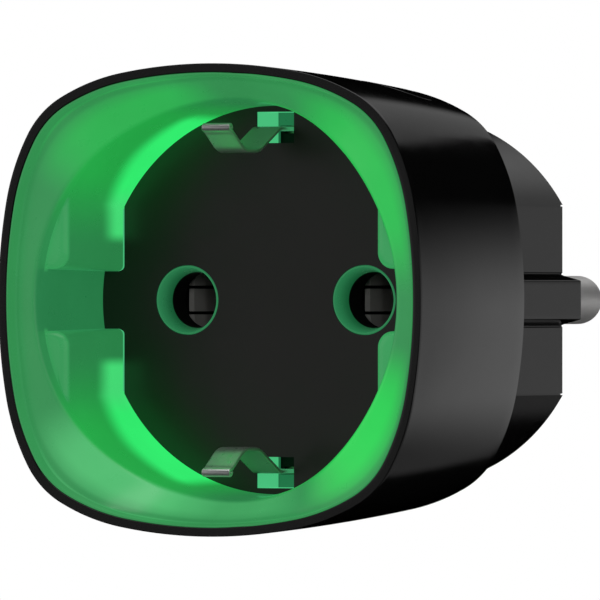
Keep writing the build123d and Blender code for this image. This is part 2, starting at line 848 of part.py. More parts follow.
models = {
    "outer_casing": outer_casing(),
    "light_guide": light_guide(),
    "socket_floor": socket_floor(),
    "contact_carrier": contact_carrier(),
    "line_contact": socket_contact(pin_x),
    "neutral_contact": socket_contact(-pin_x),
    "rear_cover": rear_cover(),
    "plug_pin_line": plug_pin(pin_x),
    "plug_pin_neutral": plug_pin(-pin_x),
    "earth_clip_top": earth_clip(1),
    "earth_clip_bottom": earth_clip(-1),
    "earth_strap": earth_strap(),
    "side_earth_contact_top": side_earth_contact(1),
    "side_earth_contact_bottom": side_earth_contact(-1),
    "earth_rivets": earth_rivets(),
    "cover_screws": cover_screws(),
    "light_board": light_board_ring(),
    "leds": leds(),
    "header_pins": header_pins(),
    "power_button": power_button(),
    "switch_plunger": switch_plunger(),
    "tactile_switch": tactile_switch(),
    "main_board": main_board(),
    "relay_case": relay_case(),
    "relay_base": relay_base(),
    "relay_bobbin": relay_bobbin(),
    "relay_winding": relay_winding(),
    "relay_yoke": relay_yoke(),
    "relay_armature": relay_armature(),
    "relay_contact_arm": relay_contact_arm(),
    "relay_fixed_contact": relay_fixed_contact(),
    "radio_board": radio_board(),
    "radio_shield": radio_shield(),
    "radio_antenna": radio_antenna(),
    "smoothing_capacitor": smoothing_capacitor(),
    "filter_inductor": filter_inductor(),
    "varistor": varistor(),
    "fusible_resistor": fusible_resistor(),
    "current_shunt": current_shunt(),
    "metering_chip": board_chip(both_ways(2.5), (-4.0, 0.0), 1.6),
    "rectifier": board_chip(both_ways(2.4), (-11.5, -7.5), 2.4),
}

for name, model in models.items():
    export_step(model, f"parts/{name}.step")
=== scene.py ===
import json
from math import asin, atan2, cos, degrees, exp, hypot, pi, radians, sin, sqrt

import bmesh
import bpy
import numpy as np
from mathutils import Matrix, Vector

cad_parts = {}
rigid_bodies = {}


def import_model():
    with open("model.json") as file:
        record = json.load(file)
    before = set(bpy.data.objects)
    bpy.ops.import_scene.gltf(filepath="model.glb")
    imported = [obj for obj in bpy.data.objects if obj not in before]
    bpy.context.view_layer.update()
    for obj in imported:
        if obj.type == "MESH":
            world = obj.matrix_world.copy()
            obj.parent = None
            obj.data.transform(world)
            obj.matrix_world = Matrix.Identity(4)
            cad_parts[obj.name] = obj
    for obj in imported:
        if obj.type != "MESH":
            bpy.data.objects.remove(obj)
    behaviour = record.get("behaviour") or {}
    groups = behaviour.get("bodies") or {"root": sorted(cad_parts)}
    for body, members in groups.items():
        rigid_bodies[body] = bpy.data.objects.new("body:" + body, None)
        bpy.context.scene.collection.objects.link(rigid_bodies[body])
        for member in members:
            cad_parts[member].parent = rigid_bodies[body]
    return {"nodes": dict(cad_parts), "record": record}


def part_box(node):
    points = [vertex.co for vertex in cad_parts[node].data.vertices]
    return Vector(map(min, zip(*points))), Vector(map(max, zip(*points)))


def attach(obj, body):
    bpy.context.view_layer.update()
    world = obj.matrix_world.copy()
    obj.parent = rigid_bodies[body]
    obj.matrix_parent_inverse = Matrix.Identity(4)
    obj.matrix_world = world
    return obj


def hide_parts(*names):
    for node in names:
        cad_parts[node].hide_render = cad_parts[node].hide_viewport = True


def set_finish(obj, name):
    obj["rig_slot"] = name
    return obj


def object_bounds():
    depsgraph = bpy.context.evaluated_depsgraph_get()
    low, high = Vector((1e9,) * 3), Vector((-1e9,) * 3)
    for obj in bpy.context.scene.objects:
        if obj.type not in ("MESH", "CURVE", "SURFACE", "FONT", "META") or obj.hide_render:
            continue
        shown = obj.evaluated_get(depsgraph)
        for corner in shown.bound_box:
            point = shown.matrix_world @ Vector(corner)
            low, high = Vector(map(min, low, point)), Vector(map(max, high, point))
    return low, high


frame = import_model()
cad_low, cad_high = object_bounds()
nodes = frame["nodes"]
scene = bpy.context.scene
scene.view_settings.view_transform = "Standard"

MM = 0.001

# Sizes in millimetres, read from the frame or shared with the CAD design.
# "Depth" is measured back from the front rim, as in the CAD, and (x, z) look at the plug's face.
FRONT = cad_low.y / MM
FACE_HALF = cad_high.x / MM
BODY_DEPTH = -FRONT
DRUM_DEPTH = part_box("outer_casing")[1].y / MM - FRONT
WALL = 1.4
RIM_WIDTH = 0.85
LEDGE_DEPTH = 3.0
REAR_POCKET = 23.8
PIN_X = 9.5
PIN_RADIUS = 2.4
PIN_COLLAR = 2.6
BOSS_WALL = 1.6
PIN_END = cad_high.y / MM - FRONT

# Camera: level with the plug, off to its right, far away behind a long lens
SEEN_FROM = radians(26.8)
LOOK_ALONG = radians(26.32)
DISTANCE = 1.051
LENS = 663.8


def make_camera():
    data = bpy.data.cameras.new("camera")
    data.lens = LENS
    data.sensor_width = 36
    data.clip_start = 0.01
    data.clip_end = 10
    camera = bpy.data.objects.new("camera", data)
    bpy.context.collection.objects.link(camera)
    camera.location = (DISTANCE * sin(SEEN_FROM), cad_low.y - DISTANCE * cos(SEEN_FROM), 0)
    look = Vector((-sin(LOOK_ALONG), cos(LOOK_ALONG), 0))
    camera.rotation_euler = look.to_track_quat("-Z", "Y").to_euler()
    scene.camera = camera


# ---------------------------------------------------------------- outlines

SHOULDER_ARC = 0.95
CORNER_ARC = 0.40
ARC_TURNS = (radians(10.3), radians(28.8))


def side_arc():
    """Radius of the unit outline's long side arc, which meets the shoulder arc in a tangent."""
    lean1, lean2 = (cos(turn) - sin(turn) for turn in ARC_TURNS)
    return (1 - SHOULDER_ARC * lean1 + (SHOULDER_ARC - CORNER_ARC) * lean2) / (1 - lean1)


def squircle_points(steps=8):
    """Unit square-round outline: tangent side, shoulder and corner arcs, as (x, z) points."""
    shoulder, corner, side = SHOULDER_ARC, CORNER_ARC, side_arc()
    t1, t2 = ARC_TURNS
    first = (1 - side, 0.0)
    second = (first[0] + (side - shoulder) * cos(t1), (side - shoulder) * sin(t1))
    both = second[1] + (shoulder - corner) * sin(t2)
    arcs = [
        (first, side, -t1, t1, 3 * steps),
        (second, shoulder, t1, t2, 2 * steps),
        ((both, both), corner, t2, pi / 2 - t2, 3 * steps),
        (second[::-1], shoulder, pi / 2 - t2, pi / 2 - t1, 2 * steps),
    ]
    points = []
    for quarter in range(4):
        turn = quarter * pi / 2
        for (cx, cz), radius, start, end, count in arcs:
            for k in range(count):
                a = start + (end - start) * k / count
                x, z = cx + radius * cos(a), cz + radius * sin(a)
                points.append((x * cos(turn) - z * sin(turn), x * sin(turn) + z * cos(turn)))
    return points


SQUIRCLE = np.array(squircle_points())
SQUIRCLE_ANGLES = np.unwrap(np.arctan2(SQUIRCLE[:, 1], SQUIRCLE[:, 0]))
SQUIRCLE_RADII = np.hypot(SQUIRCLE[:, 0], SQUIRCLE[:, 1])


def squircle_radius(angles):
    """Radius of the unit outline at each angle."""
    wrapped = SQUIRCLE_ANGLES[0] + (np.asarray(angles) - SQUIRCLE_ANGLES[0]) % (2 * pi)
    table_a = np.append(SQUIRCLE_ANGLES, SQUIRCLE_ANGLES[0] + 2 * pi)
    table_r = np.append(SQUIRCLE_RADII, SQUIRCLE_RADII[0])
    return np.interp(wrapped, table_a, table_r)


def drum_half(depth):
    """Half width of the drum, which narrows towards the rear in a slight bow."""
    return FACE_HALF - 0.031 * depth - 0.00088 * depth**2


def arc(centre, radius, start, end, count=5):
    """Points on an arc from one angle to another in degrees."""
    angles = np.radians(np.linspace(start, end, count))
    return [(centre[0] + radius * cos(a), centre[1] + radius * sin(a)) for a in angles]


def open_arc(centre, radius, start, end, steps):
    """Arc without its last point, which the next stretch brings."""
    return arc(centre, radius, start, end, steps + 1)[:-1]


def line(start, end, count):
    """Points along a straight line, both ends included."""
    steps = np.linspace(0, 1, count)
    return [(start[0] + (end[0] - start[0]) * t, start[1] + (end[1] - start[1]) * t) for t in steps]


def open_line(start, end, steps):
    """Line without its last point, which the next stretch brings."""
    return line(start, end, steps + 1)[:-1]


def whole_turn(quarter):
    """Closed outline from the quarter that runs from the x axis up to the z axis."""
    upper = quarter + [(-x, z) for x, z in quarter[-2::-1]]
    return upper + [(x, -z) for x, z in upper[-2:0:-1]]


# ---------------------------------------------------------------- mesh tools

def place(xz, depth):
    """Outline points at a depth, as row-frame positions in metres."""
    return [Vector((x * MM, (depth + FRONT) * MM, z * MM)) for x, z in xz]


def soften(mesh, sharp):
    """Smooth shading, with edges over a number of degrees kept sharp."""
    mesh.shade_smooth()
    mesh.set_sharp_from_angle(angle=radians(sharp))


def new_object(name, bm, sharp=35):
    mesh = bpy.data.meshes.new(name)
    bm.to_mesh(mesh)
    bm.free()
    piece = bpy.data.objects.new(name, mesh)
    bpy.context.collection.objects.link(piece)
    soften(mesh, sharp)
    return piece


def add_skin(bm, rings, loop):
    """Quads between rings of positions. A loop joins the last ring to the first, or else caps close it."""
    rows = [[bm.verts.new(p) for p in ring] for ring in rings]
    pairs = list(zip(rows, rows[1:])) + ([(rows[-1], rows[0])] if loop else [])
    count = len(rows[0])
    for low, high in pairs:
        for k in range(count):
            n = (k + 1) % count
            bm.faces.new((low[k], low[n], high[n], high[k]))
    if not loop:
        bm.faces.new(rows[0][::-1])
        bm.faces.new(rows[-1])


def clean(bm, distance=2e-6):
    """Weld points closer than a distance in metres, drop slivers and turn the faces outwards."""
    bmesh.ops.remove_doubles(bm, verts=bm.verts, dist=distance)
    bmesh.ops.dissolve_degenerate(bm, edges=bm.edges, dist=distance / 2)
    bmesh.ops.recalc_face_normals(bm, faces=bm.faces)


def skin(name, rings, loop=False, sharp=35):
    bm = bmesh.new()
    add_skin(bm, rings, loop)
    clean(bm)
    return new_object(name, bm, sharp)


def circle(radius, count=64, centre=(0, 0)):
    angles = np.linspace(0, 2 * pi, count, endpoint=False)
    return [(centre[0] + radius * cos(a), centre[1] + radius * sin(a)) for a in angles]


def lathe(name, profile, x=0, z=0, count=64, loop=False):
    """Turned piece along Y from (radius, depth) pairs."""
    rings = [place(circle(max(r, 1e-4), count, (x, z)), depth) for r, depth in profile]
    return skin(name, rings, loop)


def cutter(name, rings):
    """A closed solid that other pieces are cut with."""
    tool = skin(name, rings)
    tool.hide_render = True
    return tool


def cut(piece, tool, sharp=35):
    """Subtract a solid from a piece, and keep only the result."""
    modifier = piece.modifiers.new("cut", "BOOLEAN")
    modifier.object = tool
    modifier.solver = "EXACT"
    graph = bpy.context.evaluated_depsgraph_get()
    mesh = bpy.data.meshes.new_from_object(piece.evaluated_get(graph))
    piece.modifiers.clear()
    piece.data = mesh
    soften(mesh, sharp)
    bpy.data.objects.remove(tool)


def drill(piece, x, z, radius, depths, count=96, sharp=35):
    """Cut a round hole along Y between two depths."""
    rings = [place(circle(radius, count, (x, z)), depth) for depth in depths]
    cut(piece, cutter("hole", rings), sharp)


def box_rings(x_span, z_span, depth_span):
    """Two or more equal rectangles along Y, as the rings of a box."""
    (x0, x1), (z0, z1) = x_span, z_span
    corners = [(x0, z0), (x1, z0), (x1, z1), (x0, z1)]
    return [place(corners, d) for d in depth_span]


def house(piece, slot, *stands_for, body="housing"):
    """Tie a new piece to a body and a material slot, and name the CAD nodes it stands for."""
    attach(piece, body)
    if stands_for:
        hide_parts(*stands_for)
    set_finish(piece, slot)
    return piece


# ---------------------------------------------------------------- button axis

BUTTON_TURN = radians(14.4)
BUTTON_DEPTH = 20.1
BUTTON_RADIUS = 3.6
BUTTON_GROOVE = 0.06
BUTTON_FLANGE = 3.9
BUTTON_STEM = 1.2
CAP_THICKNESS = 1.45
STEM_REACH = 17.3
BUTTON_AXIS = Vector((sin(BUTTON_TURN), 0, cos(BUTTON_TURN)))
BUTTON_SIDE = Vector((cos(BUTTON_TURN), 0, -sin(BUTTON_TURN)))


def shoulder_centre():
    """Centre (x, z) of the drum's upper right shoulder arc at the button's depth."""
    half, side, turn = drum_half(BUTTON_DEPTH), side_arc(), ARC_TURNS[0]
    offset = side - SHOULDER_ARC
    return half * offset * sin(turn), half * (1 - side + offset * cos(turn))


def button_point(u, v, reach):
    """Row-frame position (mm) from offsets across the button and distance out along its axis."""
    x, z = shoulder_centre()
    return Vector((x, BUTTON_DEPTH + v, z)) + BUTTON_SIDE * u + BUTTON_AXIS * reach


def surface_reach(u, v, offset):
    """How far out along the button's axis the drum's skin, grown by an offset, is met."""
    low, high = 10.0, 24.0
    for _ in range(40):
        middle = (low + high) / 2
        point = button_point(u, v, middle)
        rim = (drum_half(point.y) + offset) * float(squircle_radius(atan2(point.z, point.x)))
        if hypot(point.x, point.z) < rim:
            low = middle
        else:
            high = middle
    return middle


def button_ring(radius, offset=None, reach=None, count=64):
    """Ring about the button's axis, on the drum's grown skin or at a plain height."""
    ring = []
    for k in range(count):
        a = 2 * pi * k / count
        u, v = radius * cos(a), radius * sin(a)
        height = surface_reach(u, v, offset) if reach is None else reach
        point = button_point(u, v, height)
        ring.append(Vector((point.x, point.y + FRONT, point.z)) * MM)
    return ring


# ---------------------------------------------------------------- casing

def make_casing():
    """Gloss drum: rounded front rim, bowed sides, rounded rear edge, stepped inside."""
    rim, inner_rim, edge, skirt = 0.08, 0.1, 0.12, 0.9
    rear = drum_half(DRUM_DEPTH)
    profile = arc((FACE_HALF - rim, rim), rim, -90, 0)
    profile += [(drum_half(d), d) for d in np.linspace(rim + 0.4, DRUM_DEPTH - edge - 0.3, 16)]
    profile += arc((rear - edge, DRUM_DEPTH - edge), edge, 0, 90, 7)
    profile += [(rear - skirt, DRUM_DEPTH), (drum_half(REAR_POCKET) - skirt, REAR_POCKET)]
    profile += [(drum_half(d) - WALL, d) for d in np.linspace(REAR_POCKET, LEDGE_DEPTH, 8)]
    inner = FACE_HALF - RIM_WIDTH
    profile += [(inner, LEDGE_DEPTH)]
    profile += arc((inner + inner_rim, inner_rim), inner_rim, 180, 270, 4)
    rings = [place(SQUIRCLE * half, depth) for half, depth in profile]
    casing = skin("casing_shell", rings, loop=True)
    hole = [button_ring(BUTTON_RADIUS + BUTTON_GROOVE, reach=r) for r in (16, 24)]
    cut(casing, cutter("button_hole", hole))
    return casing


def make_button():
    """Cap that follows the drum's skin, with a rounded edge, a retaining flange and a stem."""
    proud, edge, skirt = 0.02, 0.08, -2.0
    rings = [button_ring(r, offset=proud) for r in (0.01, 0.8, 1.6, 2.4, 3.0)]
    for a in np.radians(np.linspace(0, 90, 6)):
        rings.append(button_ring(BUTTON_RADIUS - edge * (1 - sin(a)), offset=proud - edge * (1 - cos(a))))
    rings += [button_ring(r, offset=-CAP_THICKNESS) for r in (BUTTON_RADIUS, BUTTON_FLANGE)]
    rings += [button_ring(r, offset=skirt) for r in (BUTTON_FLANGE, BUTTON_STEM)]
    rings += [button_ring(r, reach=STEM_REACH) for r in (BUTTON_STEM, 0.01)]
    return skin("button_cap", rings)


# ---------------------------------------------------------------- recess liner

PAD_FRONT = 2.6
FLOOR_RADIUS = 18.75
FLOOR_DEPTH = 14.5
FLOOR_BACK = 15.5
GUIDE_BACK = 16.7
LIP_DEPTH = 1.4
LIP_HALF = 21.2
CREASE_ROUND = 0.4
LINER_BACK_HALF = 20.9
PAD_X = 16.4
PAD_ANGLE = radians(30)
PAD_EDGE = 0.95
PAD_CORNERS = (1.5, 0.5)
NOTCH_HALVES = (2.95, 2.77)
FUNNEL_RADIUS = 3.13
FUNNEL_RIM = 3.33
FUNNEL_THROAT = 2.7
SLOT_HALF = 2.0
SLOT_Z = (15.1, 18.1)
SLEEVE_FRONT = 14.7
SLEEVE_BACK = 19.7
SLEEVE_WALL = 0.4
SLEEVE_GAP = 0.02


def recess_section(radius, pad_x, corner, notch):
    """Round outline with notched flats left and right, as (x, z) points in one turn."""
    inner_end = sqrt(radius**2 - notch**2)
    notch_angle = degrees(atan2(notch, inner_end))
    flat_top = sqrt(radius**2 - pad_x**2)
    flat_angle = degrees(atan2(flat_top, pad_x))
    quarter = open_arc((0, 0), radius, 0, notch_angle, 8)
    quarter += open_line((inner_end, notch), (pad_x + corner, notch), 5)
    quarter += open_arc((pad_x + corner, notch + corner), corner, -90, -180, 10)
    quarter += open_line((pad_x, notch + corner), (pad_x, flat_top), 14)
    quarter += open_arc((0, 0), radius, flat_angle, 90, 44)
    quarter.append((0.0, radius))
    return whole_turn(quarter)


def on_radius(section, radii):
    """The same points moved along their rays to other radii."""
    scale = np.asarray(radii) / np.hypot(*np.array(section).T)
    return [(x * s, z * s) for (x, z), s in zip(section, scale)]


def crease_depth(angle):
    """Depth where the dished front turns into the wall: shallow at the sides, deep above and below."""
    return 1.3 + 4.6 * abs(sin(angle))**5


def wall_radius(depth, angle):
    """Radius of the recess wall, a little flared just behind the crease."""
    flare = 0.3 * exp(crease_depth(angle) - depth)
    return FLOOR_RADIUS + 0.25 * (FLOOR_DEPTH - depth) / FLOOR_DEPTH + flare


def dish_rings(base):
    """Rings from the lip down the dish and round the soft crease, one path for each angle."""
    paths = []
    for (x, z), reach in zip(base, squircle_radius([atan2(z, x) for x, z in base])):
        angle = atan2(z, x)
        crease = crease_depth(angle)
        lip = Vector((LIP_HALF * reach, LIP_DEPTH))
        corner = Vector((wall_radius(crease, angle), crease))
        foot = Vector((wall_radius(crease + CREASE_ROUND, angle), crease + CREASE_ROUND))
        shoulder = corner + (lip - corner).normalized() * CREASE_ROUND
        path = [lip.lerp(shoulder, t) for t in np.linspace(0, 1, 10)]
        for t in np.linspace(0.2, 1, 5):
            path.append(shoulder.lerp(corner, t).lerp(corner.lerp(foot, t), t))
        paths.append([(r * cos(angle), d, r * sin(angle)) for r, d in path])
    return [[Vector((x, d + FRONT, z)) * MM for x, d, z in ring] for ring in zip(*paths)]


def wall_ring(outline, depth, pads=True):
    """Ring down the recess wall; where the crease lies deeper, the ring waits at its foot."""
    rim = wall_radius(depth, PAD_ANGLE)
    ring = []
    for x, z in outline:
        angle, at = atan2(z, x), depth
        if not pads or hypot(x, z) > rim - 1e-6:
            at = max(depth, crease_depth(angle) + CREASE_ROUND)
            radius = wall_radius(at, angle)
            x, z = radius * cos(angle), radius * sin(angle)
        ring.append(Vector((x, at + FRONT, z)) * MM)
    return ring


def pad_ring(depth, pad_x, corner, notch):
    """Ring at a depth where the guide pads stand out from the wall."""
    outline = recess_section(wall_radius(depth, PAD_ANGLE), pad_x, corner, notch)
    return wall_ring(outline, depth)


def slot_rings(side, grow, depths):
    """Rings of an earthing clip's slot, grown all round; side is 1 above and -1 below."""
    z_span = sorted((side * (SLOT_Z[0] - grow), side * (SLOT_Z[1] + grow)))
    half = SLOT_HALF + grow
    return box_rings((-half, half), z_span, depths)


def make_liner():
    """Translucent liner: lip, dished funnel, guide pads with notches, wall and hidden back."""
    mouth = wall_radius(PAD_FRONT, PAD_ANGLE)
    base = recess_section(mouth, PAD_X, PAD_CORNERS[0], NOTCH_HALVES[0])
    reach = squircle_radius([atan2(z, x) for x, z in base])
    rim_half, outer_half = FACE_HALF - RIM_WIDTH - 0.2, FACE_HALF - RIM_WIDTH - 0.05

    def squircle_ring(half, depth):
        return place(on_radius(base, half * reach), depth)

    def round_ring(radius, depth):
        return place(on_radius(base, np.full(len(base), radius)), depth)

    rings = [squircle_ring(rim_half, 0.03), squircle_ring(rim_half - 0.03, 0.12)]
    rings.append(squircle_ring(LIP_HALF + 0.05, LIP_DEPTH - 0.12))
    rings += dish_rings(base)
    for depth in np.linspace(1.9, PAD_FRONT, 4):
        rings.append(wall_ring(base, depth, pads=False))
    for a in np.radians(np.linspace(0, 90, 8)):
        notch = NOTCH_HALVES[0] + 0.5 * (1 - sin(a))
        depth = PAD_FRONT + PAD_EDGE * (1 - cos(a))
        rings.append(pad_ring(depth, PAD_X + PAD_EDGE * (1 - sin(a)), PAD_CORNERS[0], notch))
    for t in np.linspace(0.07, 1, 14):
        depth = PAD_FRONT + PAD_EDGE + (FLOOR_BACK - PAD_FRONT - PAD_EDGE) * t
        corner = PAD_CORNERS[0] + (PAD_CORNERS[1] - PAD_CORNERS[0]) * t
        notch = NOTCH_HALVES[0] + (NOTCH_HALVES[1] - NOTCH_HALVES[0]) * t
        rings.append(pad_ring(depth, PAD_X, corner, notch))
    rings += [round_ring(0.01, FLOOR_BACK), round_ring(0.01, GUIDE_BACK)]
    rings += [round_ring(FLOOR_RADIUS + 1.1, GUIDE_BACK), round_ring(LINER_BACK_HALF - 0.5, 7.5)]
    rings += [round_ring(LINER_BACK_HALF, depth) for depth in (LEDGE_DEPTH + 0.2, LEDGE_DEPTH)]
    rings.append(squircle_ring(outer_half, LEDGE_DEPTH))
    rings.append(squircle_ring(outer_half, 0.03))
    sharp = 32
    liner = skin("recess_liner", rings, loop=True, sharp=sharp)
    for x in (-PIN_X, PIN_X):
        drill(liner, x, 0, FUNNEL_RIM, (15, 18), sharp=sharp)
    for side in (-1, 1):
        cut(liner, cutter("slot", slot_rings(side, SLEEVE_WALL + SLEEVE_GAP, (15, 18))), sharp)
    return liner


def make_funnel(x, name):
    """Lit funnel that leads a pin through the floor, with a thin rim flush with the plate."""
    front, edge = FLOOR_DEPTH - 0.03, 0.07
    outer = FUNNEL_RIM - 0.01
    profile = [(outer, GUIDE_BACK), (outer, front + edge)]
    profile += arc((outer - edge, front + edge), edge, 0, -90, 4)
    profile += arc((FUNNEL_RADIUS + edge, front + edge), edge, -90, -170, 4)
    profile += [(FUNNEL_RADIUS - 0.05, front + 0.43), (FUNNEL_THROAT + 0.12, front + 1.43)]
    profile += [(FUNNEL_THROAT, GUIDE_BACK - 0.05), (FUNNEL_THROAT, GUIDE_BACK)]
    return lathe(name, profile, x=x, count=96, loop=True)


def make_sleeve(side, name):
    """Lit duct that an earthing clip passes through, from just behind the floor's face."""
    outside = slot_rings(side, SLEEVE_WALL, (SLEEVE_FRONT, SLEEVE_BACK))
    inside = slot_rings(side, 0, (SLEEVE_BACK, SLEEVE_FRONT))
    return skin(name, outside + inside, loop=True, sharp=30)


def make_duct_wall(side, name):
    """Wall that closes a duct's back on the outer side of the strip, let into the duct's sides."""
    half, inner, outer = SLOT_HALF + 0.1, 16.85, SLOT_Z[1] + 0.1
    depths = (SLEEVE_BACK - 0.4, SLEEVE_BACK - 0.05)
    return skin(name, box_rings((-half, half), sorted((side * inner, side * outer)), depths))


def make_floor():
    """Black floor plate with openings for the funnels and the earthing clips."""
    notch = NOTCH_HALVES[1]
    section = recess_section(FLOOR_RADIUS - 0.06, PAD_X - 0.05, PAD_CORNERS[1], notch + 0.04)
    inset = recess_section(FLOOR_RADIUS - 0.1, PAD_X - 0.09, PAD_CORNERS[1], notch + 0.08)
    rings = [place(inset, FLOOR_DEPTH), place(section, FLOOR_DEPTH + 0.05), place(section, FLOOR_BACK)]
    plate = skin("floor_plate", rings)
    for x in (-PIN_X, PIN_X):
        drill(plate, x, 0, FUNNEL_RIM + 0.04, (14, 16))
    for side in (-1, 1):
        cut(plate, cutter("slot", slot_rings(side, 0, (14, 16))))
        behind = slot_rings(side, SLEEVE_WALL + SLEEVE_GAP, (SLEEVE_FRONT - SLEEVE_GAP, 16))
        cut(plate, cutter("slot_back", behind))
    return plate


# ---------------------------------------------------------------- clips and pins

CLIP_WIDTH = 3.0
CLIP_THICKNESS = 0.4


def clip_route(side):
    """Centre line of an earthing clip as (depth, z): curled tip, belly, straight run."""
    route = arc((2.1, 16.4), 0.25, -20, 215, 12)
    route += line((2.41, 16.07), (4.06, 14.94), 5)
    route += arc((6.06, 17.45), 3.2, -124.4, -90, 8)
    route += arc((7.36, 17.45), 3.2, -90, -64.5, 7)
    route += line((9.2, 14.78), (12.0, 16.12), 5)
    route += arc((13.09, 14.97), 1.5, 115.5, 90, 5)
    route += [(14.5, 16.47), (17.0, 16.47), (20.5, 16.5)]
    return [(d, side * z) for d, z in route]


def strip_section(width, thickness, edge=0.12):
    """Rounded rectangle as (across, through) points."""
    w, t = width / 2 - edge, thickness / 2 - edge
    points = []
    for cx, ct, start in ((w, t, 0), (-w, t, 90), (-w, -t, 180), (w, -t, 270)):
        points += [(cx + edge * cos(radians(start + a)), ct + edge * sin(radians(start + a)))
                   for a in (0, 22.5, 45, 67.5, 90)]
    return points


def make_clip(side, name):
    """Sprung strip swept along its route, with rounded edges."""
    route = clip_route(side)
    section = strip_section(CLIP_WIDTH, CLIP_THICKNESS)
    rings = []
    for k, (depth, z) in enumerate(route):
        before, after = route[max(k - 1, 0)], route[min(k + 1, len(route) - 1)]
        along = Vector((0, after[0] - before[0], after[1] - before[1])).normalized()
        out = Vector((0, -along.z, along.y))
        centre = Vector((0, depth + FRONT, z))
        rings.append([(centre + Vector((a, 0, 0)) + out * t) * MM for a, t in section])
    return skin(name, rings, sharp=40)


def make_pin(x, name):
    """Turned pin with a domed end, a collar and a flange inside the cover, and a solder tail."""
    tip, tail, tail_radius, flange_radius = PIN_END - PIN_RADIUS, 38.2, 1.2, 3.4
    flange = BODY_DEPTH - BOSS_WALL
    profile = [(0, tail), (tail_radius - 0.05, tail), (tail_radius, tail + 0.1), (tail_radius, flange - 1)]
    profile += [(flange_radius, flange - 1), (flange_radius, flange)]
    profile += [(PIN_COLLAR, flange), (PIN_COLLAR, BODY_DEPTH), (PIN_RADIUS, BODY_DEPTH)]
    profile += [(PIN_RADIUS, d) for d in np.linspace(BODY_DEPTH + 0.5, tip, 8)]
    profile += arc((0, tip), PIN_RADIUS, 3, 89.5, 20)
    return lathe(name, profile, x=x, count=72)


# ---------------------------------------------------------------- rear cover

BOSS_FLAT = 15.6
BOSS_RADII = (18.45, 18.2)
RIB_REACH = 17.6
FLANGE_HALF = 20.15
SCREW_AT = (8.6, 11.2)
SCREW_WELL = 2.1
CHANNEL_HALF = 2.9


def boss_section(radius, inset=0.0):
    """Flat-sided round outline with a tapered rib on each flat, as (x, z) points in one turn."""
    flat, reach, round_radius = BOSS_FLAT - inset, RIB_REACH - inset, radius - inset
    foot, face, top, soft, groove = 2.45 - inset, 1.925 - inset, 9.27, 0.12, 0.2
    join_angle = degrees(asin((top + 0.06) / round_radius))
    quarter = open_line((reach, 0), (reach, face - soft), 5)
    quarter += open_arc((reach - soft, face - soft), soft, 0, 75, 5)
    quarter += open_line((reach - soft * 0.7, face), (flat - groove / 2, foot), 8)
    quarter += open_line((flat - groove, foot + groove / 2), (flat - groove, foot + groove), 2)
    quarter += open_line((flat, foot + 1.3 * groove), (flat, top - 0.12), 14)
    quarter += [(flat, top - 0.1), (flat - groove, top - 0.08), (flat - groove, top + 0.05)]
    quarter += open_arc((0, 0), round_radius, join_angle, 90, 44)
    quarter.append((0.0, round_radius))
    return whole_turn(quarter)


def boss_radius(depth):
    """Radius of the boss, which narrows a little from the drum to its rear end."""
    front, rear = BOSS_RADII
    return front + (rear - front) * (depth - DRUM_DEPTH) / (BODY_DEPTH - DRUM_DEPTH)


def make_cover():
    """Gloss rear moulding: flange inside the drum, hollow boss with ribs, screw seats, rear wall."""
    base = boss_section(BOSS_RADII[0])
    angles = [atan2(z, x) for x, z in base]
    reach = squircle_radius(angles)
    flange_back, edge, back_inside = DRUM_DEPTH - 0.1, 0.12, BODY_DEPTH - BOSS_WALL

    def hollow(depth):
        radius, flat = boss_radius(depth) - BOSS_WALL, BOSS_FLAT - BOSS_WALL
        radii = [min(radius, flat / max(abs(cos(a)), 1e-6)) for a in angles]
        return place(on_radius(base, radii), depth)

    def point_ring(depth):
        return place(on_radius(base, np.full(len(base), 0.01)), depth)

    rings = [point_ring(back_inside), hollow(back_inside), hollow(REAR_POCKET)]
    rings.append(place(on_radius(base, FLANGE_HALF * reach), REAR_POCKET))
    rings.append(place(on_radius(base, FLANGE_HALF * reach), flange_back - 0.1))
    rings.append(place(on_radius(base, (FLANGE_HALF - 0.1) * reach), flange_back))
    rings.append(place(boss_section(boss_radius(flange_back)), flange_back))
    for depth in (*np.linspace(flange_back + 1, BODY_DEPTH - edge - 0.15, 8), BODY_DEPTH - edge):
        rings.append(place(boss_section(boss_radius(depth)), depth))
    for a in np.radians(np.linspace(18, 90, 5)):
        section = boss_section(boss_radius(BODY_DEPTH), edge * (1 - cos(a)))
        rings.append(place(section, BODY_DEPTH - edge * (1 - sin(a))))
    rings.append(place(boss_section(boss_radius(BODY_DEPTH), edge + 0.1), BODY_DEPTH))
    rings.append(point_ring(BODY_DEPTH))
    cover = skin("cover_moulding", rings)
    through = (back_inside - 0.5, BODY_DEPTH + 1)
    for side in (-1, 1):
        channel = sorted((side * 17.35, side * 20))
        depths = (DRUM_DEPTH + 1, BODY_DEPTH - 1)
        cut(cover, cutter("channel", box_rings((-CHANNEL_HALF, CHANNEL_HALF), channel, depths)))
    for x in (-PIN_X, PIN_X):
        drill(cover, x, 0, PIN_COLLAR + 0.02, through, 72)
    for sign in (-1, 1):
        drill(cover, sign * SCREW_AT[0], sign * SCREW_AT[1], SCREW_WELL, through, 48)
    return cover


def make_screw_seat(sign, name):
    """Sleeve round a screw well, with a shelf that the screw's head clamps."""
    back, bore, sleeve, shelf = BODY_DEPTH - BOSS_WALL - 0.02, 1.2, 3.0, (42.2, 43.3)
    profile = [(bore, shelf[0]), (sleeve, shelf[0]), (sleeve, back)]
    profile += [(SCREW_WELL, back), (SCREW_WELL, shelf[1]), (bore, shelf[1])]
    return lathe(name, profile, x=sign * SCREW_AT[0], z=sign * SCREW_AT[1], count=48, loop=True)


